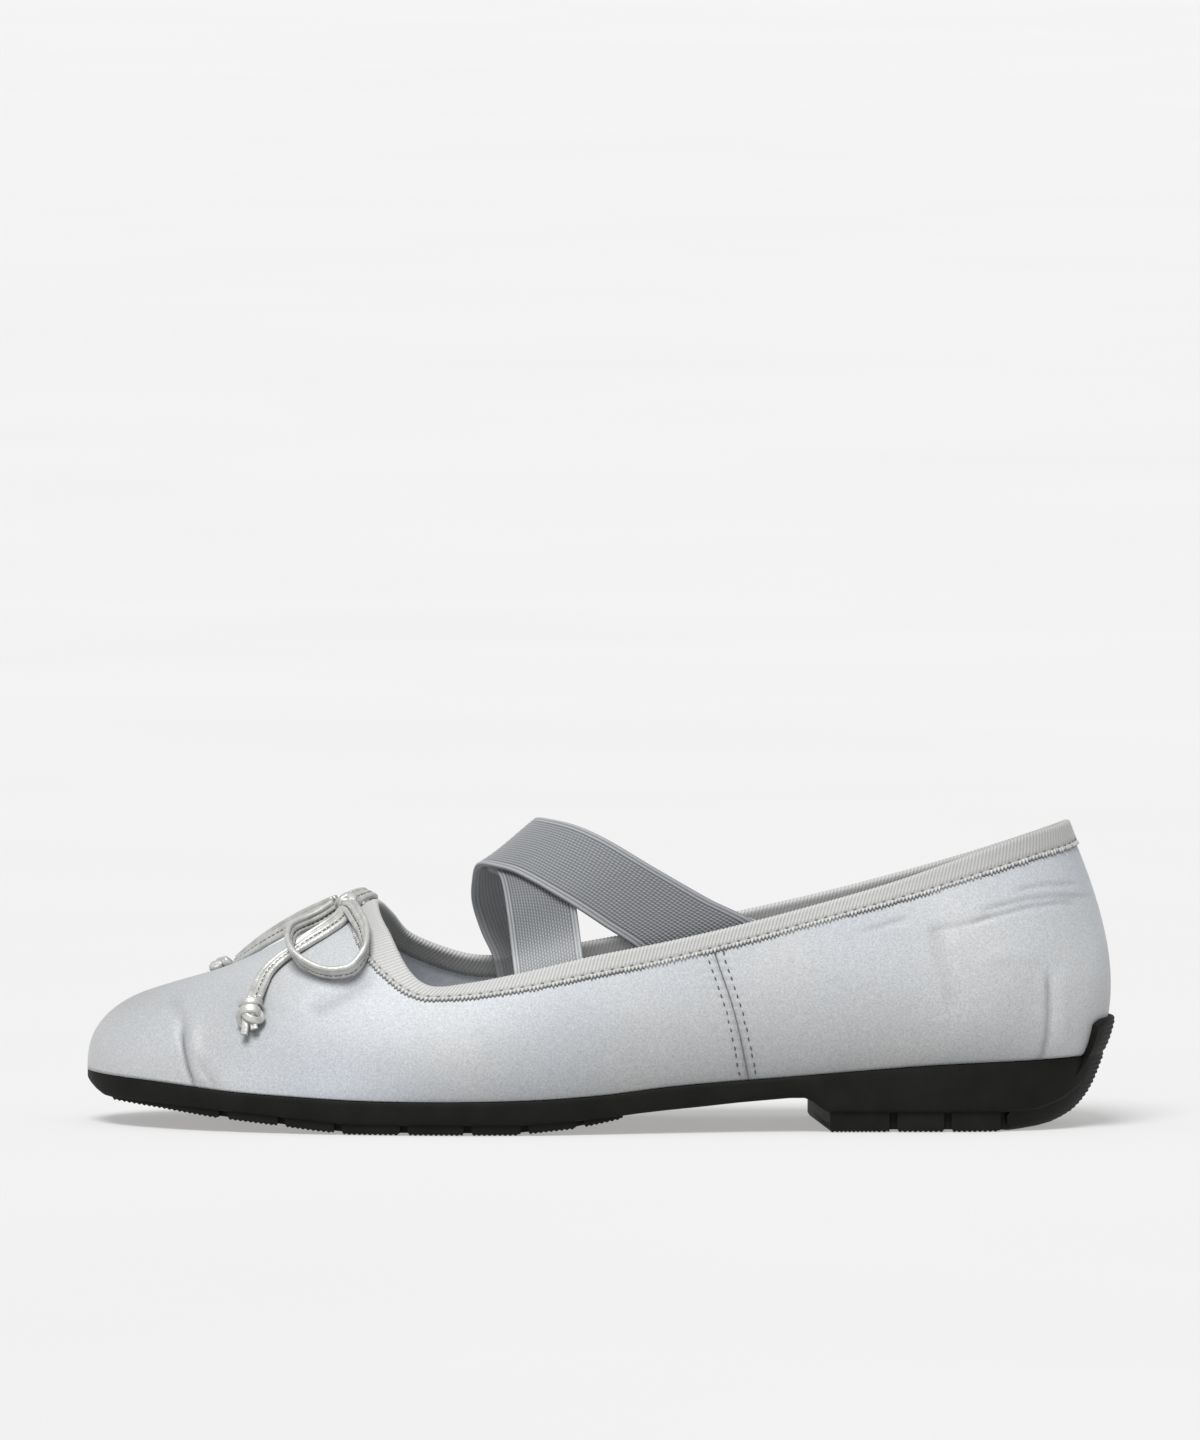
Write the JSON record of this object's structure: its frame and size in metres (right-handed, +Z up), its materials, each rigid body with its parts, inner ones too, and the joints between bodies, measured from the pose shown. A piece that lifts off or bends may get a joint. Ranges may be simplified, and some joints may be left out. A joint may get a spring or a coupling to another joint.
{
  "type": "ballet flat",
  "caption": "Left ballet flat with a hollow satin upper, bound collar, crossed elastic straps over the instep, lace bow at the throat and lugged rubber sole with a low heel.",
  "frame": {"origin": "middle of the plan box, on the floor plane under the lugs", "axes": "+X from toe to heel, +Y towards the medial side, +Z up"},
  "size_m": [0.2478, 0.0786, 0.0745],
  "materials": {
    "sole_rubber": "matt moulded black rubber",
    "insole_cloth": "plain sock cloth",
    "satin": "pale silver satin with a soft sheen",
    "grosgrain": "ribbed light grey tape",
    "elastic": "woven grey elastic",
    "lace_leather": "soft silver-white leather, folded and stitched"
  },
  "bodies": {
    "root": {"outsole": "sole_rubber", "insole": "insole_cloth", "upper": "satin", "topline_binding": "grosgrain", "strap_over": "elastic", "strap_under": "elastic", "bow_knot": "lace_leather", "bow_loop_lateral": "lace_leather", "bow_loop_medial": "lace_leather", "bow_tail_lateral": "lace_leather", "bow_tail_medial": "lace_leather", "tail_knot_lateral": "lace_leather", "tail_knot_medial": "lace_leather"}
  },
  "joints": []
}
